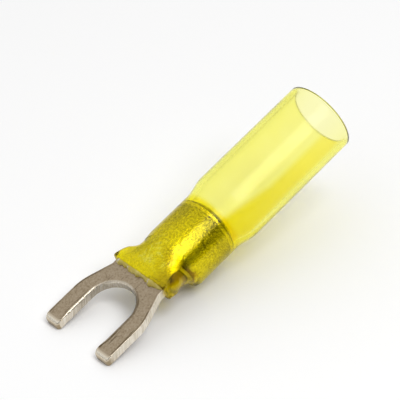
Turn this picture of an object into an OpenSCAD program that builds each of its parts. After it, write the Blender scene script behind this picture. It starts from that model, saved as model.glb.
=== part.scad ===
// Fork terminal with a heat-shrink sleeve, lying as it rests on a table:
// on the two prong tips and on the front edge of the barrel, with the sleeve's open end raised.
// The local frame has x from the tips to the sleeve's mouth, z square to the fork,
// and the barrel's axis at y = z = 0.

/* [Fork] */
// Thickness of the sheet that the fork and the barrel are formed from
sheet_t = 1.0; // [0.8:0.05:1.2]
// Width across both prongs
fork_w = 8.9; // [8.3:0.1:9.6]
// Width of the stud slot between the prongs
slot_w = 5.2; // [4.2:0.1:5.6]
// Depth of the stud slot, from the tips to its closed end
slot_depth = 7.2; // [5.8:0.1:7.4]
// Length of the prongs' parallel outer edges, from the tips to the shoulders
shoulder_x = 5.0; // [3:0.1:6]
// Width of the neck where the sleeve covers it
neck_w = 6.5; // [6:0.1:7]
// Radius of the prong tips' corners, seen from above
tip_corner_r = 0.35; // [0.1:0.05:0.6]
// Radius of the rolled upper edge at the prong tips
tip_roll_r = 0.5; // [0.2:0.05:0.7]
// How far the fork's upper face lies below the barrel's crown
fork_drop = 0.7; // [0.4:0.05:1.0]

/* [Barrel] */
// Inner diameter of the barrel, which takes the bare conductor
barrel_id = 3.7; // [3.3:0.1:4]
// Length of the barrel
barrel_l = 5.5; // [4.5:0.1:6.5]
// Distance from the prong tips to the barrel's front edge
barrel_x = 12.6; // [12.2:0.1:13.4]
// Width of the bevel on the barrel's outer edges
barrel_bevel = 0.3; // [0.1:0.05:0.4]
// Width of the groove that the brazed seam leaves along the barrel
seam_w = 0.25; // [0.1:0.05:0.4]
// Narrowest width of the neck, in front of the barrel
waist_w = 4.7; // [4.3:0.1:5.1]

/* [Sleeve] */
// Distance from the prong tips to the sleeve's front lip
sleeve_x = 8.8; // [8.5:0.1:9.2]
// Distance from the prong tips to the sleeve's mouth
mouth_x = 33.9; // [31:0.1:36]
// Outer diameter of the sleeve's open end
mouth_od = 7.7; // [7.2:0.1:8.2]
// Wall of the sleeve's open end
mouth_wall = 0.55; // [0.4:0.05:0.65]
// Wall of the sleeve where it is shrunk on the barrel
grip_wall = 0.6; // [0.45:0.05:0.7]
// Wall of the sleeve where it is flattened round the neck
lip_wall = 0.4; // [0.3:0.05:0.5]
// Length over which the sleeve widens behind the barrel
flare_l = 2.4; // [1.5:0.1:4]

/* [Adhesive] */
// Mean width of the adhesive that is squeezed out at the sleeve's lip
bead_w = 0.38; // [0.2:0.02:0.5]
// Height of that adhesive on the fork
bead_h = 0.42; // [0.2:0.02:0.5]

/* [Hidden] */
$fn = 96;

// Clearance between the film and the neck, filled by adhesive on the real part
film_gap = 0.08;
// Depth by which one solid runs into the next where they are joined
lap = 0.3;
// Inset that keeps joined faces from coinciding
inset = 0.01;

barrel_r = barrel_id / 2 + sheet_t;
barrel_mid_r = barrel_r - sheet_t / 2;
barrel_end = barrel_x + barrel_l;
fork_top = barrel_r - fork_drop;
fork_bot = fork_top - sheet_t;
fork_mid = fork_top - sheet_t / 2;
slot_r = slot_w / 2;
slot_centre = slot_depth - slot_r;
plate_end = sleeve_x - 0.6;
tip_under_r = 0.12;
seam_depth = 0.15;

grip_r = barrel_r + grip_wall;
lip_round = 0.45;
grip_x = barrel_x + lip_round;
neck_l = barrel_x - sleeve_x;
fillet_r = 0.3 * neck_l;
mouth_r = mouth_od / 2;
rim_r = 0.08;

// Resting pose: the tips' lower edge and the grip's front edge lie on one level
pitch = atan2(fork_bot + grip_r, grip_x);
floor_z = grip_x * sin(pitch) - grip_r * cos(pitch);
front_x = -fork_top * sin(pitch);
rear_x = mouth_x * cos(pitch) + mouth_r * sin(pitch);

function mix(a, b, t) = a + (b - a) * t;
function ease(t) = t * t * (3 - 2 * t);
function clamp01(t) = min(1, max(0, t));

// Puts the local frame into its resting pose, over the middle of the footprint
module at_rest() {
    translate([-(front_x + rear_x) / 2, 0, -floor_z])
        rotate([0, -pitch, 0])
            children();
}

// A turned solid about the barrel's axis, from points of (x, radius)
module turned(points) {
    rotate([0, 90, 0])
        rotate_extrude()
            polygon([for (p = points) [p[1], p[0]]]);
}

// A closed skin over rings that all have the same number of points
module skin(rings) {
    n = len(rings[0]);
    m = len(rings);
    sides = [for (i = [0 : m - 2], j = [0 : n - 1])
        [i * n + j, i * n + (j + 1) % n, (i + 1) * n + (j + 1) % n, (i + 1) * n + j]];
    ends = [[for (j = [n - 1 : -1 : 0]) j], [for (j = [0 : n - 1]) (m - 1) * n + j]];
    polyhedron(points = [for (r = rings) each r], faces = concat(sides, ends), convexity = 6);
}

// Fork: the flat plate with its two prongs

// Rounds the corner at (0, y) of an outline that lies on the side dir of y and behind x = 0
module corner_cut(y, dir, r) {
    difference() {
        translate([-1, dir > 0 ? y - 1 : y - r]) square(1 + r);
        translate([r, y + dir * r]) circle(r);
    }
}

module fork_outline() {
    w = fork_w / 2;
    difference() {
        polygon([[0, -w], [shoulder_x, -w], [plate_end, -neck_w / 2],
                 [plate_end, neck_w / 2], [shoulder_x, w], [0, w]]);
        translate([slot_centre, 0]) circle(slot_r);
        translate([-1, -slot_r]) square([slot_centre + 1, slot_w]);
        for (side = [-1, 1]) {
            corner_cut(side * w, -side, tip_corner_r);
            corner_cut(side * slot_r, side, tip_corner_r);
        }
    }
}

// Side view of the plate, with the rolled edge at the tips
module fork_profile() {
    difference() {
        translate([0, fork_bot]) square([plate_end, sheet_t]);
        corner_cut(fork_top, -1, tip_roll_r);
        corner_cut(fork_bot, 1, tip_under_r);
    }
}

module fork_plate() {
    intersection() {
        translate([0, 0, fork_bot]) linear_extrude(sheet_t) fork_outline();
        rotate([90, 0, 0])
            translate([0, 0, -fork_w])
                linear_extrude(2 * fork_w) fork_profile();
    }
}

// Neck: the strip that bends from the flat fork into the barrel's wall

neck_from = sleeve_x + lap;
neck_to = barrel_x - 0.1;
neck_steps = 14;
neck_side_points = 10;

// Widening of the strip where its edge runs in a fillet into the barrel's front
function fillet(x) = fillet_r * (1 - sqrt(1 - pow(clamp01(1 - (barrel_x - x) / fillet_r), 2)));
// Half the strip's width along the sheet: the fork's taper runs on to the waist, then comes the fillet
function strip_half(x) =
    mix(waist_w / 2, neck_w / 2 - inset, ease(1 - clamp01((x - plate_end) / (0.75 * neck_l)))) + fillet(x);

// The strip at x: half its width, its height at the crown, its bend and half its thickness
function strip(x) =
    let (t = ease(clamp01((x - neck_from) / (neck_to - neck_from))),
         thin = inset + 0.06 * ease(clamp01((x - neck_to) / lap)))
    [strip_half(x), mix(fork_mid, barrel_mid_r, t), max(t, 0.001), sheet_t / 2 - thin];

function neck_point(x, k, across, side) =
    let (r = barrel_mid_r / k[2], a = across * k[0] / r * 180 / PI)
    [x, (r + side * k[3]) * sin(a), k[1] + (r + side * k[3]) * cos(a) - r];

function neck_ring(x) =
    let (n = neck_side_points, k = strip(x))
    concat([for (j = [-n : n]) neck_point(x, k, j / n, 1)],
           [for (j = [n : -1 : -n]) neck_point(x, k, j / n, -1)]);

module neck() {
    bent = [for (i = [0 : neck_steps]) mix(neck_from, neck_to, i / neck_steps)];
    skin([for (x = concat([plate_end - lap], bent, [barrel_x + lap])) neck_ring(x)]);
}

// Barrel: the rolled tube, with bevelled edges and the seam's groove on the side away from the fork

module barrel_body() {
    turned([[barrel_x, 0],
            [barrel_x, barrel_r - barrel_bevel],
            [barrel_x + barrel_bevel, barrel_r],
            [barrel_end - barrel_bevel, barrel_r],
            [barrel_end, barrel_r - barrel_bevel],
            [barrel_end, 0]]);
}

module barrel_bore() {
    translate([barrel_x - 0.05, 0, 0])
        rotate([0, 90, 0])
            cylinder(h = barrel_l + 1, d = barrel_id);
}

module seam_groove() {
    translate([barrel_x - 1, -seam_w / 2, -barrel_r - 1])
        cube([barrel_l + 2, seam_w, 1 + seam_depth]);
}

module fork() {
    color("silver")
        at_rest()
            difference() {
                union() {
                    fork_plate();
                    neck();
                    barrel_body();
                }
                barrel_bore();
                seam_groove();
            }
}

// Sleeve: round over the barrel and behind it, shrunk round the neck in front

pocket_x = barrel_x - 0.22 * neck_l;
corner_steps = 3;
film_steps = 9;

// Share of the way from the film's hug of the neck to its round over the barrel, with a pocket below the neck
function roundness(x) = ease(clamp01((x - pocket_x) / (barrel_x - pocket_x)));

// Corner of the film round c, from angle a to angle b
function film_corner(c, a, b, w) =
    [for (t = [1 : corner_steps])
        let (d = mix(a, b, t / corner_steps))
        [c[0] + w * sin(d), c[1] + w * cos(d)]];

// Film w away from the neck's section at x: over the top, round the edge and straight below
function film_hug(x, w) =
    let (n = neck_side_points,
         k = strip(x),
         r = barrel_mid_r / k[2],
         a = k[0] / r * 180 / PI,
         top_r = r + k[3],
         low_r = r - k[3],
         z = k[1] - r,
         over = [for (j = [0 : n]) [(top_r + w) * sin(a * j / n), z + (top_r + w) * cos(a * j / n)]],
         edge = concat(film_corner([top_r * sin(a), z + top_r * cos(a)], a, a + 90, w),
                       film_corner([low_r * sin(a), z + low_r * cos(a)], a + 90, 180, w)),
         low = edge[len(edge) - 1])
    concat(over, edge, [for (j = [1 : n]) [low[0] * (1 - j / n), low[1]]]);

// Film of radius r round the barrel, less soft at the bottom, with as many points on each stretch
function film_round(r, soft) =
    let (n = neck_side_points,
         m = n + 2 * corner_steps,
         a = strip_half(barrel_x) / barrel_mid_r * 180 / PI)
    [for (j = [0 : n + m])
        let (b = j <= n ? a * j / n : mix(a, 180, (j - n) / m),
             c = r - soft * pow(sin(b / 2), 2))
        [c * sin(b), c * cos(b)]];

// Ring of the film at x, of share t from the hug w away to the round of radius r
function film_ring(at, x, t, w, r, soft) =
    let (h = film_hug(x, w),
         b = film_round(r, soft),
         last = len(h) - 1,
         half = [for (j = [0 : last]) [mix(h[j][0], b[j][0], t), mix(h[j][1], b[j][1], t)]])
    concat([for (p = half) [at, p[0], p[1]]],
           [for (j = [last - 1 : -1 : 1]) [at, -half[j][0], half[j][1]]]);

// How far the grip's rounded front edge falls short of its radius at x
function softened(x) = lip_round / 3 * pow(max(0, (grip_x - x) / lip_round), 2);

module film_solid(out, x_from, x_to) {
    bend_x = pocket_x - 0.1 * neck_l;
    stations = concat([for (i = [0 : film_steps]) mix(sleeve_x, bend_x, i / film_steps)],
                      [for (i = [1 : film_steps]) mix(bend_x, barrel_x, i / film_steps)],
                      [grip_x, grip_x + lap]);
    last = len(stations) - 1;
    skin([for (i = [0 : last])
        let (x = stations[i],
             at = i == 0 ? x_from : i == last ? x_to : x,
             wall = mix(lip_wall + film_gap, grip_wall - inset, clamp01((x - sleeve_x) / neck_l)),
             near = clamp01((grip_x - x) / lip_round))
        out ? film_ring(at, x, roundness(x + grip_wall / 2), wall, barrel_r + grip_wall - inset,
                        min(softened(x), grip_wall))
            : film_ring(at, x, roundness(x), film_gap, barrel_r + mix(inset, film_gap, near), 0)]);
}

module sleeve_front() {
    difference() {
        film_solid(true, sleeve_x, grip_x + lap);
        film_solid(false, sleeve_x - 1, grip_x + lap + 1);
        turned([[barrel_x - 0.03, 0], [barrel_x - 0.03, barrel_r], [grip_x + 1, barrel_r], [grip_x + 1, 0]]);
    }
}

module sleeve_tube() {
    flare_steps = 8;
    inner_r = mouth_r - mouth_wall;
    outer = [for (i = [0 : flare_steps])
        [barrel_end + flare_l * i / flare_steps, mix(grip_r, mouth_r, ease(i / flare_steps))]];
    inner = [for (i = [flare_steps : -1 : 0])
        [barrel_end + flare_l * i / flare_steps, mix(barrel_r, inner_r, ease(i / flare_steps))]];
    turned(concat([[grip_x, barrel_r], [grip_x, grip_r]], outer,
                  [[mouth_x - rim_r, mouth_r], [mouth_x, mouth_r - rim_r], [mouth_x, inner_r]], inner));
}

module sleeve() {
    color("gold", 0.7)
        at_rest()
            union() {
                sleeve_tube();
                sleeve_front();
            }
}

// Adhesive: an uneven bead along the lip, on both faces of the fork

bead_steps = 36;
function bead_wave(y, phase) =
    0.5 * sin(150 * y + phase) + 0.3 * sin(390 * y + 70) + 0.2 * sin(610 * y + 2 * phase);

// Section of the bead at y, standing on height 0 and leaning on the lip
function bead_ring(y, end_y, phase) =
    let (taper = sqrt(clamp01(1.02 - pow(y / end_y, 6))),
         w = bead_w * taper * (1 + 0.55 * bead_wave(y, phase)),
         h = bead_h * taper * (1 + 0.25 * bead_wave(y, phase + 40)))
    concat([[sleeve_x, y, 0]],
           [for (a = [90 : -15 : 0]) [sleeve_x - w * cos(a), y, h * sin(a)]]);

module bead(phase) {
    end_y = neck_w / 2 - 0.1;
    skin([for (i = [0 : bead_steps]) bead_ring(mix(-end_y, end_y, i / bead_steps), end_y, phase)]);
}

module adhesive_bead() {
    color("khaki", 0.8)
        at_rest() {
            translate([0, 0, fork_top]) bead(20);
            translate([0, 0, fork_bot]) mirror([0, 0, 1]) bead(200);
        }
}

fork();
sleeve();
adhesive_bead();
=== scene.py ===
"""Looks of the fork terminal.

Satin tinned metal in a translucent yellow heat-shrink sleeve, lying on a white table.
"""
import math

import bmesh
import bpy
import numpy as np
from mathutils import Matrix, Vector


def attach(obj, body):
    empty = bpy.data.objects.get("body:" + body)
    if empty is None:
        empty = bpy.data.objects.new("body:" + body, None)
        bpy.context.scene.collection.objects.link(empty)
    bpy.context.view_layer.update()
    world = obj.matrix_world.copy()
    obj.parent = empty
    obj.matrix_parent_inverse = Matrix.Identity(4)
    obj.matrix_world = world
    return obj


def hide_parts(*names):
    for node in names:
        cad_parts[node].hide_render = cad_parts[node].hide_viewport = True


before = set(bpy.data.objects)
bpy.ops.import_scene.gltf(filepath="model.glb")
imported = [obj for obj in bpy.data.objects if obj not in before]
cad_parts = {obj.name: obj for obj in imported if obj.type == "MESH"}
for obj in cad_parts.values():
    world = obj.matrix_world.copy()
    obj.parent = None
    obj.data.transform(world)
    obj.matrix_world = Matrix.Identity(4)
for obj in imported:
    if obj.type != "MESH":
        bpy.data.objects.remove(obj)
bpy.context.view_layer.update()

# Sizes of the part in millimetres, in its local frame: x from the prong tips to the sleeve's mouth,
# z square to the fork, the barrel's axis at y = z = 0
SHEET_T = 1.0
FORK_W = 8.9
SLOT_W = 5.2
SLOT_DEPTH = 7.2
SHOULDER_X = 5.0
NECK_W = 6.5
TIP_CORNER_R = 0.35
FORK_DROP = 0.7
BARREL_ID = 3.7
BARREL_L = 5.5
BARREL_X = 12.6
BARREL_BEVEL = 0.3
WAIST_W = 4.7
SLEEVE_X = 8.8
MOUTH_X = 33.9
MOUTH_OD = 7.7
MOUTH_WALL = 0.55
GRIP_WALL = 0.6
LIP_WALL = 0.4
FLARE_L = 2.4
BEAD_W = 0.38
BEAD_H = 0.42
FILM_GAP = 0.08
INSET = 0.01

BORE_R = BARREL_ID / 2
BARREL_R = BORE_R + SHEET_T
BARREL_MID_R = BARREL_R - SHEET_T / 2
BARREL_END = BARREL_X + BARREL_L
FORK_TOP = BARREL_R - FORK_DROP
FORK_BOT = FORK_TOP - SHEET_T
FORK_MID = FORK_TOP - SHEET_T / 2
SLOT_R = SLOT_W / 2
SLOT_CENTRE = SLOT_DEPTH - SLOT_R
PLATE_END = SLEEVE_X - 0.6
BEND_X = SLEEVE_X + 0.3
BEND_END = BARREL_X - 0.1
GRIP_R = BARREL_R + GRIP_WALL
GRIP_X = BARREL_X + 0.45
NECK_L = BARREL_X - SLEEVE_X
TAPER_L = 0.75 * NECK_L
FILLET_R = 0.3 * NECK_L
POCKET_X = BARREL_X - 0.22 * NECK_L
LIP_ROUND = 0.45
MOUTH_R = MOUTH_OD / 2
INNER_R = MOUTH_R - MOUTH_WALL

# Resting pose, as in the part's source
PITCH = math.atan2(FORK_BOT + GRIP_R, GRIP_X)
FLOOR_Z = GRIP_X * math.sin(PITCH) - GRIP_R * math.cos(PITCH)
FRONT_X = -FORK_TOP * math.sin(PITCH)
REAR_X = MOUTH_X * math.cos(PITCH) + MOUTH_R * math.sin(PITCH)
MM = 0.001
AT_REST = (Matrix.Scale(MM, 4) @ Matrix.Translation((-(FRONT_X + REAR_X) / 2, 0, -FLOOR_Z))
           @ Matrix.Rotation(-PITCH, 4, "Y"))


def mix(a, b, t):
    return a + (b - a) * t


def clamp01(t):
    return min(1.0, max(0.0, t))


def ease(t):
    return t * t * (3 - 2 * t)


def rising(x, start, length):
    """0 up to start, 1 from start + length on."""
    return ease(clamp01((x - start) / length))


def falling(x, end, length):
    """1 up to end - length, 0 from end on."""
    return ease(clamp01((end - x) / length))


def bell(distance, width):
    return math.exp(-(distance / width) ** 2)


def new_object(name, data):
    obj = bpy.data.objects.new(name, data)
    bpy.context.scene.collection.objects.link(obj)
    return obj


def make_piece(name, verts, faces, material, replaced):
    mesh = bpy.data.meshes.new(name)
    mesh.from_pydata([AT_REST @ Vector(v) for v in verts], [], faces)
    mesh.update()
    bm = bmesh.new()
    bm.from_mesh(mesh)
    bmesh.ops.recalc_face_normals(bm, faces=bm.faces)
    bm.to_mesh(mesh)
    bm.free()
    for p in mesh.polygons:
        p.use_smooth = True
    obj = new_object(name, mesh)
    mesh.materials.append(material)
    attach(obj, "root")
    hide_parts(replaced)
    return obj


def vertex_values(obj, name, values):
    obj.data.attributes.new(name, "FLOAT", "POINT").data.foreach_set("value", values)


def rings_faces(n, m, base=0, closed=False):
    """Quads between m rings of n points each."""
    last = m if closed else m - 1
    return [(base + i * n + j, base + i * n + (j + 1) % n,
             base + (i + 1) % m * n + (j + 1) % n, base + (i + 1) % m * n + j)
            for i in range(last) for j in range(n)]


# Materials

class Shader:
    """Node tree of a material or of the world."""

    def __init__(self, owner):
        owner.use_nodes = True
        self.nodes, self.links = owner.node_tree.nodes, owner.node_tree.links

    def feed(self, socket, value):
        """Link a socket to another node's output, or set it to a constant."""
        if isinstance(value, bpy.types.NodeSocket):
            self.links.new(value, socket)
        else:
            socket.default_value = value

    def add(self, kind, inputs, **settings):
        node = self.nodes.new("ShaderNode" + kind)
        for name, value in settings.items():
            setattr(node, name, value)
        for name, value in inputs.items():
            self.feed(node.inputs[name], value)
        return node

    def coords(self):
        return self.add("TexCoord", {}).outputs["Object"]

    def noise(self, scale, detail=4.0, rough=0.55, stretch=None):
        """Noise, stretched along the part's own axes where a stretch is given."""
        coords = self.coords()
        if stretch:
            turned = {"Vector": coords, "Rotation": (0, PITCH, 0), "Scale": stretch}
            coords = self.add("Mapping", turned).outputs["Vector"]
        inputs = {"Vector": coords, "Scale": scale, "Detail": detail, "Roughness": rough}
        return self.add("TexNoise", inputs).outputs["Fac"]

    def ramp(self, source, stops):
        """Colour at a value, from (position, colour or grey level) stops."""
        node = self.add("ValToRGB", {"Fac": source})
        elements = node.color_ramp.elements
        colours = [(*c, 1) if isinstance(c, tuple) else (c, c, c, 1) for _, c in stops]
        for element, i in zip(elements, (0, -1)):
            element.position, element.color = stops[i][0], colours[i]
        for (position, _), colour in list(zip(stops, colours))[1:-1]:
            elements.new(position).color = colour
        return node.outputs["Color"]

    def map_range(self, source, lo, hi, to_lo, to_hi):
        inputs = {"Value": source, "From Min": lo, "From Max": hi, "To Min": to_lo, "To Max": to_hi}
        return self.add("MapRange", inputs).outputs["Result"]

    def bump(self, height, strength, distance, under=None):
        inputs = {"Height": height, "Strength": strength, "Distance": distance}
        if under:
            inputs["Normal"] = under
        return self.add("Bump", inputs).outputs["Normal"]

    def blend(self, factor, a, b):
        inputs = {"Factor": factor, "A": a, "B": b}
        return self.add("Mix", inputs, data_type="RGBA").outputs["Result"]

    def math(self, operation, a, b):
        return self.add("Math", {0: a, 1: b}, operation=operation).outputs["Value"]

    def times(self, a, b):
        return self.math("MULTIPLY", a, b)

    def vertex_value(self, name):
        return self.add("Attribute", {}, attribute_name=name).outputs["Fac"]


def new_material(name):
    mat = bpy.data.materials.new(name)
    shader = Shader(mat)
    return mat, shader, shader.nodes["Principled BSDF"].inputs


# Strength of the metal's grain: on the bare fork, on the covered neck and on the barrel,
# and where it grows from the neck's to the barrel's
GRAIN_BARE = 0.6
GRAIN_NECK = 0.35
GRAIN_BARREL = 0.95
GRAIN_X = SLEEVE_X + 1.5
GRAIN_L = 4


def tinned_metal():
    mat, sh, surface = new_material("tinned_copper")
    cloud = sh.noise(scale=420, detail=6)
    grain = sh.noise(scale=5200, detail=4, rough=0.65)
    scratch = sh.noise(scale=900, detail=3, rough=0.5, stretch=(0.4, 7.0, 0.4))
    shear = sh.noise(scale=1500, detail=3, rough=0.6, stretch=(5.0, 5.0, 0.25))
    edge, covered, shade, rolled, edge_shade_line, coarse = (
        sh.vertex_value(a) for a in ("edge", "covered", "shade", "rolled", "edge_shade_line", "coarse"))

    # The fork's dull faces, with a few dark scratches
    darker = sh.ramp(grain, [(0.30, (0.18, 0.135, 0.085)), (0.45, (0.32, 0.25, 0.165)),
                             (0.70, (0.41, 0.335, 0.24))])
    paler = sh.ramp(grain, [(0.30, (0.25, 0.195, 0.125)), (0.45, (0.37, 0.295, 0.20)),
                            (0.70, (0.45, 0.375, 0.28))])
    dark = sh.ramp(shear, [(0.3, (0.05, 0.035, 0.015)), (0.7, (0.16, 0.115, 0.06))])
    lines = sh.ramp(scratch, [(0.66, 0.0), (0.71, 0.7)])
    bare = sh.blend(lines, sh.blend(cloud, darker, paler), dark)

    # Its sheared edges are brighter metal, partly a painted highlight along the rolled rim; the
    # slot's wall takes painted shade
    bright = sh.ramp(shear, [(0.3, (0.60, 0.53, 0.41)), (0.5, (0.80, 0.73, 0.61)),
                             (0.68, (0.93, 0.88, 0.78))])
    # Painted shade on the slot's wall, darkest towards the slot's end
    painted_slot_shade = sh.ramp(shear, [(0.3, (0.05, 0.034, 0.014)), (0.7, (0.14, 0.10, 0.05))])
    bare = sh.blend(shade, sh.blend(edge, bare, bright), painted_slot_shade)

    # The tips are rolled smooth: a painted highlight over the bend, brown on the sheared front
    tip_tone_with_highlight = sh.ramp(edge, [(0.0, (0.38, 0.31, 0.22)), (0.35, (0.60, 0.52, 0.40)),
                            (0.65, (0.88, 0.82, 0.69)), (0.9, (0.62, 0.54, 0.41)),
                            (1.0, (0.36, 0.285, 0.18))])
    bare = sh.blend(rolled, bare, tip_tone_with_highlight)
    # Painted shade: a broken dark line along the sheared edges, in the scratches' dark colour
    broken = sh.ramp(cloud, [(0.40, 0.25), (0.55, 1.0)])
    bare = sh.blend(sh.times(edge_shade_line, broken), bare, dark)

    # Under the film the lining wets the metal, and the barrel is grainier than the neck
    neck_tone = sh.ramp(grain, [(0.3, (0.64, 0.60, 0.48)), (0.6, (0.82, 0.79, 0.63))])
    barrel_tone = sh.ramp(grain, [(0.32, (0.44, 0.40, 0.30)), (0.48, (0.75, 0.71, 0.57)),
                                  (0.64, (0.93, 0.90, 0.73))])
    on_barrel = sh.map_range(coarse, GRAIN_NECK, GRAIN_BARREL, 0, 1)
    wetted = sh.blend(on_barrel, neck_tone, barrel_tone)
    sh.feed(surface["Base Color"], sh.blend(covered, bare, wetted))

    surface["Metallic"].default_value = 1.0
    finish = sh.times(sh.map_range(covered, 0, 1, 1, 0.6), sh.map_range(rolled, 0, 1, 1, 0.6))
    satin = sh.map_range(cloud, 0.3, 0.7, 0.27, 0.38)
    sh.feed(surface["Roughness"], sh.times(satin, finish))
    fine = sh.bump(grain, strength=coarse, distance=0.00006)
    sh.feed(surface["Normal"], sh.bump(scratch, strength=0.16, distance=0.00008, under=fine))
    return mat


def film():
    mat, sh, surface = new_material("yellow_film")
    cloud = sh.noise(scale=300, detail=4)
    streak = sh.noise(scale=700, detail=3, rough=0.5, stretch=(0.12, 1.0, 1.0))
    crinkle = sh.noise(scale=1900, detail=5, rough=0.6)
    mottle = sh.noise(scale=4200, detail=4, rough=0.7)

    # Pale where the tube is free, deep yellow where it has shrunk, painted brown shade in the
    # pocket under the neck and along its right side
    free = sh.ramp(cloud, [(0.3, (0.99, 0.975, 0.70)), (0.7, (0.998, 0.99, 0.78))])
    tight = sh.ramp(mottle, [(0.35, (0.90, 0.76, 0.006)), (0.65, (1.0, 0.90, 0.014))])
    shade_brown = sh.ramp(mottle, [(0.35, (0.44, 0.32, 0.002)), (0.65, (0.62, 0.48, 0.004))])
    tone = sh.blend(sh.vertex_value("shrunk"), free, tight)
    tone = sh.blend(sh.vertex_value("shade_under_neck"), tone, shade_brown)

    # Painted highlights of fine creases: pale, broken lines
    fold = sh.add("TexVoronoi", {"Vector": sh.coords(), "Scale": 750}, feature="DISTANCE_TO_EDGE")
    lines = sh.times(sh.ramp(fold.outputs["Distance"], [(0.03, 1.0), (0.09, 0.0)]),
                     sh.ramp(crinkle, [(0.50, 0.0), (0.56, 1.0)]))
    bright = sh.ramp(mottle, [(0.3, (1.0, 0.97, 0.30)), (0.7, (1.0, 0.99, 0.50))])
    tone = sh.blend(sh.times(lines, sh.vertex_value("crease_highlight")), tone, bright)
    sh.feed(surface["Base Color"], tone)

    surface["Transmission Weight"].default_value = 1.0
    surface["IOR"].default_value = 1.2
    sh.feed(surface["Roughness"], sh.map_range(streak, 0.3, 0.7, 0.10, 0.20))
    drawn = sh.bump(streak, strength=0.06, distance=0.0001)
    sh.feed(surface["Normal"], sh.bump(crinkle, strength=0.02, distance=0.0001, under=drawn))
    absorb = sh.add("VolumeAbsorption", {"Color": (0.98, 0.97, 0.05, 1), "Density": 700})
    sh.feed(sh.nodes["Material Output"].inputs["Volume"], absorb.outputs["Volume"])
    return mat


def adhesive():
    mat, sh, surface = new_material("adhesive")
    cloud = sh.noise(scale=1500, detail=4)
    glint_noise = sh.noise(scale=5000, detail=3, rough=0.6)
    golden = sh.ramp(cloud, [(0.35, (0.80, 0.64, 0.10)), (0.7, (0.96, 0.84, 0.26))])
    # Painted glints: whitish spots on the beads' drops
    white = sh.ramp(glint_noise, [(0.3, (0.95, 0.92, 0.70)), (0.7, (0.98, 0.97, 0.88))])
    glint_spots = sh.ramp(sh.times(sh.vertex_value("glint_spots"), glint_noise), [(0.49, 0.0), (0.56, 1.0)])
    sh.feed(surface["Base Color"], sh.blend(glint_spots, golden, white))
    surface["Transmission Weight"].default_value = 0.5
    surface["IOR"].default_value = 1.45
    sh.feed(surface["Roughness"], sh.map_range(cloud, 0.3, 0.7, 0.03, 0.09))
    sh.feed(surface["Normal"], sh.bump(cloud, strength=0.35, distance=0.0001))
    return mat


# Fork: the plate's outline, swept with rolled edges, then the neck and the barrel

FINE_L = 1.2            # the outline's points lie closer in front of this
SHOULDER_BEND = 0.9     # reach of the shoulder's soft bend, to either side
UNDER_ROLL = 0.07       # rounding of the lower edge
EDGE_ROLL = 0.08        # rounding of the upper edge
SLOT_ROLL = 0.17        # added to it along the slot
SLOT_ROLL_L = 0.8       # length in which that sets in behind the tips
SLOT_TOL = 0.01
SLOT_FROM = 0.3         # the slot's wall counts from here on
TIP_L = 0.9             # length of the tips that are rolled down
TIP_DROP = 0.42         # how far their upper edge comes down
TIP_LEAN = 0.55         # how far their front leans back
TIP_BACK = 0.58         # where the flat top starts behind it
ROLL_STEPS = 6
TOP_STEPS = (0.03, 0.12, 0.17)   # rings of the flat top inside the rounding
SLOT_SHADE = 0.9             # painted shade on the slot's wall, darker towards its end
SLOT_SHADE_X = 0.5
SLOT_SHADE_L = 4.5
SLOT_SHADE_LEFT = 0.6        # share of the painted shade on the left wall
SLOT_SHADE_LEFT_Y = 0.6      # it starts to grow from here to the right
RIGHT_WALL_Y = -0.6     # the painted shade reaches the rim on the right of this
OUTER_LINE = 0.8        # strength of the painted dark shade line along the outer edges
LEFT_LINE = 0.5         # and along the slot's left rim
RIGHT_LINE_Y = -0.4     # it starts here on the slot's right rim
TIP_GLOSS = 1.6         # how soon the tips have their own finish, with its painted highlight
NECK_N = 24
NECK_RINGS = 40
BEND_EASE = 0.35
LEAST_BEND = 0.001
BARREL_N = 180
SHARP = math.radians(35)


def arc(cx, cy, r, a0, a1, n):
    return [(cx + r * math.cos(a), cy + r * math.sin(a)) for a in np.linspace(a0, a1, n)]


def line(p, q, n):
    return [(mix(p[0], q[0], i / n), mix(p[1], q[1], i / n)) for i in range(1, n)]


def soft_corner(before, corner, after, n):
    """Points of a parabola from before to after, drawn towards the corner."""
    return [tuple(mix(mix(b, c, i / n), mix(c, a, i / n), i / n)
                  for b, c, a in zip(before, corner, after)) for i in range(n + 1)]


def fork_outline():
    w, neck_w, r, pi = FORK_W / 2, NECK_W / 2, TIP_CORNER_R, math.pi
    slot_fine, side_fine = (FINE_L, SLOT_R), (FINE_L, w)
    before = (SHOULDER_X - SHOULDER_BEND, w)
    after = (SHOULDER_X + SHOULDER_BEND,
             mix(w, neck_w, SHOULDER_BEND / (PLATE_END - SHOULDER_X)))
    half = arc(SLOT_CENTRE, 0, SLOT_R, 0, pi / 2, 24)
    half += line((SLOT_CENTRE, SLOT_R), slot_fine, 10) + [slot_fine]
    half += line(slot_fine, (r, SLOT_R), 8)
    half += arc(r, SLOT_R + r, r, 1.5 * pi, pi, 8)
    half += line((0, SLOT_R + r), (0, w - r), 6)
    half += arc(r, w - r, r, pi, pi / 2, 8)
    half += line((r, w), side_fine, 8) + [side_fine] + line(side_fine, before, 8)
    half += soft_corner(before, (SHOULDER_X, w), after, 12)
    half += line(after, (PLATE_END, neck_w), 8) + [(PLATE_END, neck_w), (BEND_X, neck_w)]
    return half + [(x, -y) for x, y in reversed(half[1:])]


def unit(rows):
    return rows / np.linalg.norm(rows, axis=1)[:, None]


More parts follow.
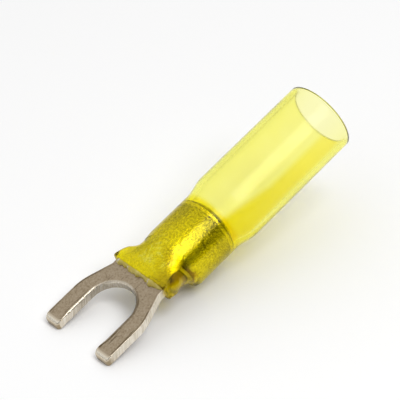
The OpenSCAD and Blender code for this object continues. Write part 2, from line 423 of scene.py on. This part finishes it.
def plate(verts, faces):
    pts = np.array(fork_outline())
    n = len(pts)
    before, after = np.roll(pts, 1, 0), np.roll(pts, -1, 0)
    along = unit(unit(pts - before) + unit(after - pts))
    area = np.sum(pts[:, 0] * after[:, 1] - after[:, 0] * pts[:, 1]) / 2
    inward = np.stack([-along[:, 1], along[:, 0]], 1) * np.sign(area)
    tip = np.array([clamp01(1 - x / TIP_L) for x, _ in pts])
    in_slot = [abs(y) < SLOT_R + SLOT_TOL and x > SLOT_FROM for x, y in pts]
    roll = np.array([EDGE_ROLL + SLOT_ROLL * clamp01((x - TIP_L) / SLOT_ROLL_L) * inner
                     for (x, _), inner in zip(pts, in_slot)])
    rise = roll + TIP_DROP * tip
    # Rings from below: how far each lies inside the outline and behind the tips, and its height
    ones, none = np.ones(n), np.zeros(n)
    quarter = [math.pi / 2 * i / ROLL_STEPS for i in range(ROLL_STEPS + 1)]
    rings = [((UNDER_ROLL + TOP_STEPS[0]) * ones, none, FORK_BOT * ones)]
    rings += [(UNDER_ROLL * (1 - math.sin(a)) * ones, none,
               (FORK_BOT + UNDER_ROLL * (1 - math.cos(a))) * ones) for a in quarter]
    rings += [(roll * (1 - math.cos(a)), TIP_LEAN * tip * (1 - math.cos(a)),
               FORK_TOP - rise * (1 - math.sin(a))) for a in quarter]
    rings += [(roll + step, TIP_BACK * tip, FORK_TOP * ones) for step in TOP_STEPS]
    base = len(verts)
    for inset, back, height in rings:
        ring = pts + inward * inset[:, None]
        verts += [(x + b, y, z) for (x, y), b, z in zip(ring, back, height)]
    top = base + (len(rings) - 1) * n
    faces += rings_faces(n, len(rings), base)
    faces += [tuple(base + j for j in reversed(range(n))), tuple(top + j for j in range(n))]
    return plate_finish(pts, tip, in_slot)


# Painted shade on the slot's wall: darker towards its end and to the right
def slot_shade_share(x, y):
    return (SLOT_SHADE * clamp01((x - SLOT_SHADE_X) / SLOT_SHADE_L)
            * mix(SLOT_SHADE_LEFT, 1, clamp01((SLOT_SHADE_LEFT_Y - y) / 2)))


def edge_line(x, y, tip, inner):
    """Painted shade: a dark line along the sheared edges, which leaves out the slot's bright end.
    """
    if not inner:
        return OUTER_LINE * (1 - tip)
    return clamp01(RIGHT_LINE_Y - y) if x > SLOT_CENTRE or y < 0 else LEFT_LINE


def plate_finish(pts, tip, in_slot):
    """Shares of each finish, of the painted shade and of the painted highlights at the plate's
    vertices, ring by ring from below.
    """
    up = [i / ROLL_STEPS for i in range(ROLL_STEPS + 1)]
    lower, top = [0.0] + [1.0] * len(up), [0.0] * len(TOP_STEPS)
    # The walls and most of the roll take the brighter edge colour, which is partly a painted
    # highlight on the rim
    edge = lower + [1 - t ** 2 for t in up] + top
    # How far up each ring takes the slot's painted shade, on its left and on its right wall
    left_wall = lower + [1 - clamp01(3 * t) for t in up] + top
    right_wall = lower + [1 - 0.3 * t for t in up] + [0.5, 0.0, 0.0]
    # Rings that take the painted shade line: the roll's last ring and the first rings of the flat
    # top
    rim = [0.0] * (2 * len(up)) + [0.6, 1.0, 1.0, 0.0]
    bend = lower + [1.0] * len(up) + [0.4, 0.0, 0.0]
    slot_shades = [slot_shade_share(x, y) if inner else 0.0 for (x, y), inner in zip(pts, in_slot)]
    lines = [edge_line(x, y, t, inner) for (x, y), t, inner in zip(pts, tip, in_slot)]
    glosses = [0.0 if inner else min(1, TIP_GLOSS * t) for t, inner in zip(tip, in_slot)]
    rights = [clamp01(RIGHT_WALL_Y - y) for _, y in pts]
    return {"edge": [e for e in edge for _ in pts],
            "shade": [mix(a, b, right) * wall_shade for a, b in zip(left_wall, right_wall)
                      for right, wall_shade in zip(rights, slot_shades)],
            "edge_shade_line": [k * c for k in rim for c in lines],
            "rolled": [k * c for k in bend for c in glosses]}


def strip_half(x):
    """Half the width of the strip between the plate and the barrel."""
    taper = ease(1 - clamp01((x - PLATE_END) / TAPER_L))
    fillet = FILLET_R * (1 - math.sqrt(1 - clamp01(1 - (BARREL_X - x) / FILLET_R) ** 2))
    return mix(WAIST_W / 2, NECK_W / 2 - INSET, taper) + fillet


def strip(x):
    """Half width, height, bend and half thickness of the strip, which rolls up to the barrel."""
    t = clamp01((x - BEND_X) / (BEND_END - BEND_X))
    t = mix(t, ease(t), BEND_EASE)
    return strip_half(x), mix(FORK_MID, BARREL_MID_R, t), max(t, LEAST_BEND), SHEET_T / 2 - INSET


def neck(verts, faces):
    n, base = NECK_N, len(verts)
    for x in np.linspace(SLEEVE_X + 0.1, BARREL_X + 0.3, NECK_RINGS):
        half, crown, bend, thick = strip(x)
        r = BARREL_MID_R / bend
        for skin_r, order in ((r + thick, range(-n, n + 1)), (r - thick, range(n, -n - 1, -1))):
            for j in order:
                a = j / n * half / r
                verts.append((x, skin_r * math.sin(a), crown + skin_r * math.cos(a) - r))
    faces += rings_faces(4 * n + 2, NECK_RINGS, base)


def barrel(verts, faces):
    n, base = BARREL_N, len(verts)
    r0, end = BARREL_R, BARREL_END
    bevel_r, rear = r0 - BARREL_BEVEL, end - BARREL_BEVEL
    line_d, soft_d, bore_bevel = 0.035, 0.04, 0.15
    seam_d, seam_w, seam_at = 0.18, 0.13, 1.5 * math.pi
    # Front bevel, a fine line before the rear edge, and that edge, softer outside than inside
    profile = [(BARREL_X, BORE_R), (BARREL_X, bevel_r), (BARREL_X + BARREL_BEVEL, r0),
               (rear - 0.52, r0), (rear - 0.46, r0 - line_d), (rear - 0.40, r0),
               (rear - 0.12, r0), (rear, r0 - soft_d), (end - 0.05, bevel_r),
               (end, bevel_r - 0.06), (end, BORE_R + bore_bevel), (end - bore_bevel, BORE_R)]
    for x, r in profile:
        for j in range(n):
            a = 2 * math.pi * j / n
            # The brazed seam is a shallow groove along the underside
            groove = seam_d * bell(r * (a - seam_at), seam_w) if r > BARREL_MID_R else 0.0
            verts.append((x, (r - groove) * math.cos(a), (r - groove) * math.sin(a)))
    faces += rings_faces(n, len(profile), base, closed=True)


def build_fork(material):
    verts, faces = [], []
    values = plate(verts, faces)
    flat_count = len(verts)
    neck(verts, faces)
    barrel(verts, faces)
    obj = make_piece("fork_metal", verts, faces, material, "fork")
    for p in obj.data.polygons:
        if len(p.vertices) > 4:
            p.use_smooth = False
    obj.data.set_sharp_from_angle(angle=SHARP)
    hidden = len(verts) - flat_count
    for name, flat in values.items():
        vertex_values(obj, name, flat + [0.0] * hidden)
    vertex_values(obj, "covered", [0.0] * flat_count + [1.0] * hidden)
    grains = [mix(GRAIN_NECK, GRAIN_BARREL, clamp01((x - GRAIN_X) / GRAIN_L))
              for x, _, _ in verts[flat_count:]]
    vertex_values(obj, "coarse", [GRAIN_BARE] * flat_count + grains)


# Sleeve: rings of outer and inner skin, evenly spaced round each ring

RING = 224
WET = -0.03             # the lining's inner skin lies this far in the metal
TOP_N = 40              # steps of half a section over the top, and of its flat underside
CORNER_N = 8            # steps of each of its two corners
SIDE_N = TOP_N + 2 * CORNER_N
SKIN_SPARE = 0.1        # the outer skin keeps the lip's width longer than the metal does
SKIN_TAPER_L = 2.4
SKIN_TAPER_END = BARREL_X - 0.4
LIP_EDGE = 0.45         # share of the lip's wall at its very edge
LIP_EDGE_L = 0.16
LIP_STEPS = (0, 0.02, 0.05, 0.09, 0.13)
RAMP_X = SLEEVE_X + 0.4
RIM_L = 0.06            # rounding of the mouth's rim
RIM_SHARES = (0.12, 0.5, 0.88)
FLARE_N = 16
# Creases that the shrinking leaves on top of the film: start, end and height of each
CREASES = ((10.2, 0.7, 11.0, 0.8, 0.11), (10.3, 0.2, 11.4, 0.4, 0.12),
           (11.1, 0.5, 11.6, -0.3, 0.10), (11.4, 0.6, 12.1, -0.1, 0.10),
           (10.2, -0.3, 10.7, -0.1, 0.08), (10.0, 1.1, 10.4, 0.7, 0.08),
           (12.3, 0.9, 13.0, 0.2, 0.08), (12.0, 2.4, 12.4, 1.7, 0.07),
           (9.2, -0.9, 9.4, -2.2, -0.14), (9.4, -2.2, 9.1, -3.4, -0.14))
CREASE_W = 0.08
CREASE_PALE = 8         # loss of colour for each millimetre that a crease stands up, partly a painted highlight on its ridge


def film_corner(centre, a, b, w):
    return [(centre[0] + w * math.sin(d), centre[1] + w * math.cos(d))
            for d in np.linspace(a, b, CORNER_N + 1)[1:]]


def film_hug(x, w):
    """Film w away from the neck at x: over the top, round the edge and straight below."""
    half, crown, bend, thick = strip(x)
    if w > 0:
        half = max(half, mix(WAIST_W / 2 + SKIN_SPARE, NECK_W / 2,
                             falling(x, SKIN_TAPER_END, SKIN_TAPER_L)))
    r = BARREL_MID_R / bend
    a, z, top_r, low_r = half / r, crown - r, r + thick, r - thick
    pts = [((top_r + w) * math.sin(a * j / TOP_N), z + (top_r + w) * math.cos(a * j / TOP_N))
           for j in range(TOP_N + 1)]
    side = a + math.pi / 2
    pts += film_corner((top_r * math.sin(a), z + top_r * math.cos(a)), a, side, w)
    pts += film_corner((low_r * math.sin(a), z + low_r * math.cos(a)), side, math.pi, w)
    y, z = pts[-1]
    return np.array(pts + [(y * (1 - j / TOP_N), z) for j in range(1, TOP_N + 1)])


def film_round(r, soft=0.0):
    """Round section with as many points, drawn in below by soft."""
    a = strip_half(BARREL_X) / BARREL_MID_R
    b = np.concatenate([np.linspace(0, a, TOP_N + 1), np.linspace(a, math.pi, SIDE_N + 1)[1:]])
    c = r - soft * np.sin(b / 2) ** 2
    return np.stack([c * np.sin(b), c * np.cos(b)], 1)


def even_ring(x, half):
    loop = np.concatenate([half, half[-2:0:-1] * (-1, 1), half[:1]])
    s = np.concatenate([[0], np.cumsum(np.hypot(*np.diff(loop, axis=0).T))])
    at = np.linspace(0, s[-1], RING, endpoint=False)
    y, z = np.interp(at, s, loop[:, 0]), np.interp(at, s, loop[:, 1])
    return np.stack([np.full(RING, x), y, z], 1)


def crease(x, y):
    rise = 0.0
    for x0, y0, x1, y1, height in CREASES:
        dx, dy = x1 - x0, y1 - y0
        t = clamp01(((x - x0) * dx + (y - y0) * dy) / (dx ** 2 + dy ** 2))
        rise += height * bell(math.hypot(x - mix(x0, x1, t), y - mix(y0, y1, t)), CREASE_W)
    return rise


def front_ring(x, out):
    if not out:
        roundness = rising(x, POCKET_X, BARREL_X - POCKET_X)
        return even_ring(x, mix(film_hug(x, WET), film_round(BARREL_R + WET), roundness))
    behind_lip = x - SLEEVE_X
    wall = mix(LIP_WALL + FILM_GAP, GRIP_WALL - INSET, clamp01(behind_lip / NECK_L))
    wall *= mix(LIP_EDGE, 1, math.sqrt(1 - (1 - clamp01(behind_lip / LIP_EDGE_L)) ** 2))
    soft = LIP_ROUND / 3 * max(0, (GRIP_X - x) / LIP_ROUND) ** 2
    hug, full = film_hug(x, wall), film_round(GRIP_R - INSET, min(soft, GRIP_WALL))
    # The film leaves the neck late above, and early in a straight ramp below
    above = rising(behind_lip, 0.45 * NECK_L, 0.5 * NECK_L)
    below = clamp01((x - RAMP_X) / (BARREL_X - RAMP_X))
    corners = (TOP_N, TOP_N + 2 * CORNER_N + 1)
    share = np.interp(np.arange(len(hug)), corners, (above, below))[:, None]
    ring = even_ring(x, mix(hug, full, share))
    ring[:, 2] += [crease(x, y) if z > FORK_MID else 0.0 for _, y, z in ring]
    return ring


def steps(start, end, n):
    return list(np.linspace(start, end, n, endpoint=False))


def skin_rings(out):
    close_x = POCKET_X - 0.1 * NECK_L
    xs = [SLEEVE_X + d for d in LIP_STEPS] + steps(SLEEVE_X + 0.18, close_x, 34)
    xs += steps(close_x, BARREL_X, 34) + steps(BARREL_X, GRIP_X, 8)
    rings = [front_ring(x, out) for x in xs]
    r0, r1 = (GRIP_R, MOUTH_R) if out else (BARREL_R + WET, INNER_R)
    rows = [(x, r0) for x in steps(GRIP_X, BARREL_END, 14)]
    rows += [(BARREL_END + FLARE_L * i / FLARE_N, mix(r0, r1, ease(i / FLARE_N)))
             for i in range(FLARE_N)]
    rows += [(x, r1) for x in np.linspace(BARREL_END + FLARE_L, MOUTH_X - RIM_L, 30)]
    return rings + [even_ring(x, film_round(r)) for x, r in rows]


def yellow_depth(x, y, z):
    """Depth of the yellow: full where the film has shrunk, some along the free tube's bottom and on
    the mouth's rim.
    """
    shrunk = 1 - rising(x, start=BARREL_END - 0.1, length=0.5)
    if x <= BARREL_END:
        return shrunk
    # In the free tube it is deeper along the bottom, less and less towards the mouth
    along = clamp01((x - BARREL_END) / (MOUTH_X - BARREL_END))
    low_y, low_z = -0.25, -0.97
    low = (low_y * y + low_z * z) / math.hypot(y, z)
    narrow = min(1, 2 * along)
    start, full = mix(0.58, 0.86, narrow), mix(0.78, 0.97, narrow)
    deeper_below = rising(low, start, full - start) * mix(1.0, 0.5, along)
    rim = 0.7 * clamp01((x - MOUTH_X) / RIM_L + 1)
    return max(shrunk, rim, deeper_below)


def shade_under_neck_at(x, y, z):
    """Share of painted brown shade: in the pocket under the neck, and along the neck's right side.
    """
    pocket = falling(x, end=BARREL_X + 0.3, length=0.5) * rising(x, SLEEVE_X + 0.3, length=0.8)
    below = 0.85 * pocket * falling(z, end=FORK_BOT + 0.3, length=0.9)
    turn_x, turn_l = 10.4, 1.5
    right_y = mix(-0.4, 0.4, clamp01((x - turn_x) / turn_l))
    right = 0.75 * falling(x, end=BARREL_X + 0.2, length=0.8) * falling(y, right_y, length=2.2)
    return max(below, right)


def crease_highlight_at(x, y, z):
    """Share of the painted crease highlights, on the neck's upper side."""
    along = rising(x, SLEEVE_X + 0.5, length=0.8) * falling(x, end=BARREL_X + 0.6, length=1.4)
    return along * falling(abs(y), end=2.4, length=1.2) * clamp01((z - FORK_BOT) / 0.5)


def colour_left(x, y, z):
    """Share of the colour that the creases leave on the film's front top; the paler ridges partly
    paint their highlights.
    """
    return 1 - clamp01(CREASE_PALE * crease(x, y)) if z > FORK_MID and x < GRIP_X else 1.0


def build_sleeve(material):
    outer, inner = skin_rings(True), skin_rings(False)
    rim = []
    for share in RIM_SHARES:
        ring = mix(outer[-1], inner[-1], share)
        ring[:, 0] = MOUTH_X
        rim.append(ring)
    rings = outer + rim + inner[::-1]
    verts = [tuple(v) for r in rings for v in r]
    faces = rings_faces(RING, len(rings), closed=True)
    obj = make_piece("sleeve_film", verts, faces, material, "sleeve")
    vertex_values(obj, "shade_under_neck", [shade_under_neck_at(*v) for v in verts])
    vertex_values(obj, "crease_highlight", [crease_highlight_at(*v) for v in verts])
    vertex_values(obj, "shrunk", [yellow_depth(*v) * colour_left(*v) for v in verts])


# Adhesive: the uneven beads at the lip, on both faces

DROPS = (2.75, 1.35, -1.45)
DROP_W = 0.32
BEAD_SINK = 0.03        # how far a bead lies in the metal and the film
BEAD_STEPS = 90
BEAD_N = 14
BEAD_END = NECK_W / 2 - 0.1


def bead_wave(y, phase):
    waves = ((0.5, 150 * y + phase), (0.3, 390 * y + 70), (0.2, 610 * y + 2 * phase))
    return sum(share * math.sin(math.radians(degrees)) for share, degrees in waves)


def build_bead(material):
    verts, faces, glint_spots = [], [], []
    n = BEAD_N + 1
    for level, up, phase in ((FORK_TOP, 1, 20), (FORK_BOT, -1, 200)):
        base = len(verts)
        x0, z0 = SLEEVE_X + BEAD_SINK, level - BEAD_SINK * up
        for i in range(BEAD_STEPS + 1):
            y = mix(-BEAD_END, BEAD_END, i / BEAD_STEPS)
            taper = math.sqrt(clamp01(1.02 - (y / BEAD_END) ** 6))
            drop = sum(bell(y - at, DROP_W) for at in DROPS)
            wide = taper * (0.85 + 0.5 * bead_wave(y, phase) + 0.35 * drop)
            high = taper * (0.85 + 0.25 * bead_wave(y, phase + 40) + 0.2 * drop)
            w, h = BEAD_W * wide + BEAD_SINK, BEAD_H * high + BEAD_SINK
            verts.append((x0, y, z0))
            for j in range(BEAD_N):
                a = math.pi / 2 * (1 - j / (BEAD_N - 1))
                verts.append((x0 - w * math.cos(a), y, z0 + up * h * math.sin(a)))
            # The painted glints sit on the drops
            glint_spots += [min(1.0, drop)] * n
        last = base + BEAD_STEPS * n
        faces += rings_faces(n, BEAD_STEPS + 1, base)
        faces += [tuple(base + j for j in range(n)), tuple(last + j for j in range(n))]
    obj = make_piece("adhesive_drops", verts, faces, material, "adhesive_bead")
    vertex_values(obj, "glint_spots", glint_spots)


# Table, light and camera, in metres

TABLE_HALF = 0.6
TABLE_WHITE = 0.96
TABLE_LIFT = 0.04       # plain white added where the table is seen
TABLE_CLEAR = 0.6       # share of plain white where it is seen through the film

# A pale room with one dark side, low down beyond the sleeve's right flank
DARK_SIDE = (0.25, -0.85, -0.45)
ROOM = ((0.0, 0.92), (0.22, 0.91), (0.35, 0.75), (0.5, 0.38), (0.65, 0.16), (0.78, 0.06),
        (0.88, 0.02))
ROOM_LOW = 0.25         # its share of light at the horizon
ROOM_FULL_Z = 0.45      # height from which it gives all of it

LAMP_AT = Vector((0.0, -0.226, 0.386))
LAMP_SIZE = (0.18, 0.28)
LAMP_POWER = 0.95

CAMERA_ELEVATION = math.radians(37.393)
CAMERA_HEADING = math.radians(46.681)
CAMERA_ROLL = math.radians(-0.462)
CAMERA_DISTANCE = 0.19174
CAMERA_TARGET = Vector((0.006826, 0.008062, 0))
FOCAL_PX = 1868.7
FRAME_PX = 400
SENSOR = 36
CLIP = (0.005, 5)


def build_floor():
    s = TABLE_HALF
    mesh = bpy.data.meshes.new("table")
    mesh.from_pydata([(-s, -s, 0), (s, -s, 0), (s, s, 0), (-s, s, 0)], [], [(0, 1, 2, 3)])
    obj = new_object("table", mesh)
    mat, sh, surface = new_material("table_white")
    surface["Base Color"].default_value = (TABLE_WHITE, TABLE_WHITE, TABLE_WHITE, 1)
    surface["Roughness"].default_value = 0.9
    surface["Specular IOR Level"].default_value = 0.1
    # A little plain white lifts the table where it is seen, and the shadow stays
    path = sh.add("LightPath", {}).outputs
    clear = path["Is Transmission Ray"]
    seen = sh.math("MAXIMUM", path["Is Camera Ray"],
                   sh.math("MAXIMUM", path["Is Glossy Ray"], clear))
    lift = sh.add("Emission", {"Strength": sh.times(seen, TABLE_LIFT)})
    dull = sh.nodes["Principled BSDF"].outputs["BSDF"]
    lifted = sh.add("AddShader", {0: dull, 1: lift.outputs["Emission"]})
    # Through the clear film it shows nearer to its plain white, but it doesn't light dull surfaces
    # more for that
    looked_at = sh.math("LESS_THAN", path["Diffuse Depth"], 0.5)
    share = sh.times(sh.times(clear, looked_at), TABLE_CLEAR)
    white = sh.add("Emission", {}).outputs["Emission"]
    both = sh.add("MixShader", {0: share, 1: lifted.outputs["Shader"], 2: white})
    sh.feed(sh.nodes["Material Output"].inputs["Surface"], both.outputs["Shader"])
    mesh.materials.append(mat)


def build_world():
    world = bpy.data.worlds.new("studio")
    bpy.context.scene.world = world
    sh = Shader(world)
    direction = sh.add("TexCoord", {}).outputs["Generated"]
    toward = sh.add("VectorMath", {0: direction, 1: DARK_SIDE}, operation="DOT_PRODUCT")
    height = sh.add("SeparateXYZ", {0: direction}).outputs["Z"]
    background = sh.nodes["Background"].inputs
    dark_share = sh.map_range(toward.outputs["Value"], -1, 1, 0, 1)
    sh.feed(background["Color"], sh.ramp(dark_share, ROOM))
    sh.feed(background["Strength"], sh.map_range(height, 0, ROOM_FULL_Z, ROOM_LOW, 1))


def build_lamp():
    data = bpy.data.lights.new("overhead_box", "AREA")
    data.shape = "RECTANGLE"
    data.size, data.size_y = LAMP_SIZE
    data.energy = LAMP_POWER
    obj = new_object("overhead_box", data)
    obj.location = LAMP_AT
    obj.rotation_euler = (-LAMP_AT).to_track_quat("-Z", "Y").to_euler()


def build_camera():
    ground = Vector((math.cos(CAMERA_HEADING), math.sin(CAMERA_HEADING), 0))
    forward = ground * math.cos(CAMERA_ELEVATION) - Vector((0, 0, 1)) * math.sin(CAMERA_ELEVATION)
    data = bpy.data.cameras.new("camera")
    data.sensor_width = SENSOR
    data.lens = FOCAL_PX / FRAME_PX * data.sensor_width
    data.clip_start, data.clip_end = CLIP
    obj = new_object("camera", data)
    obj.matrix_world = (Matrix.Translation(CAMERA_TARGET - forward * CAMERA_DISTANCE)
                        @ forward.to_track_quat("-Z", "Y").to_matrix().to_4x4()
                        @ Matrix.Rotation(CAMERA_ROLL, 4, "Z"))
    bpy.context.scene.camera = obj


build_fork(tinned_metal())
build_sleeve(film())
build_bead(adhesive())
build_floor()
build_world()
build_lamp()
build_camera()
scene = bpy.context.scene
scene.view_settings.view_transform = "Standard"
scene.cycles.use_denoising = True
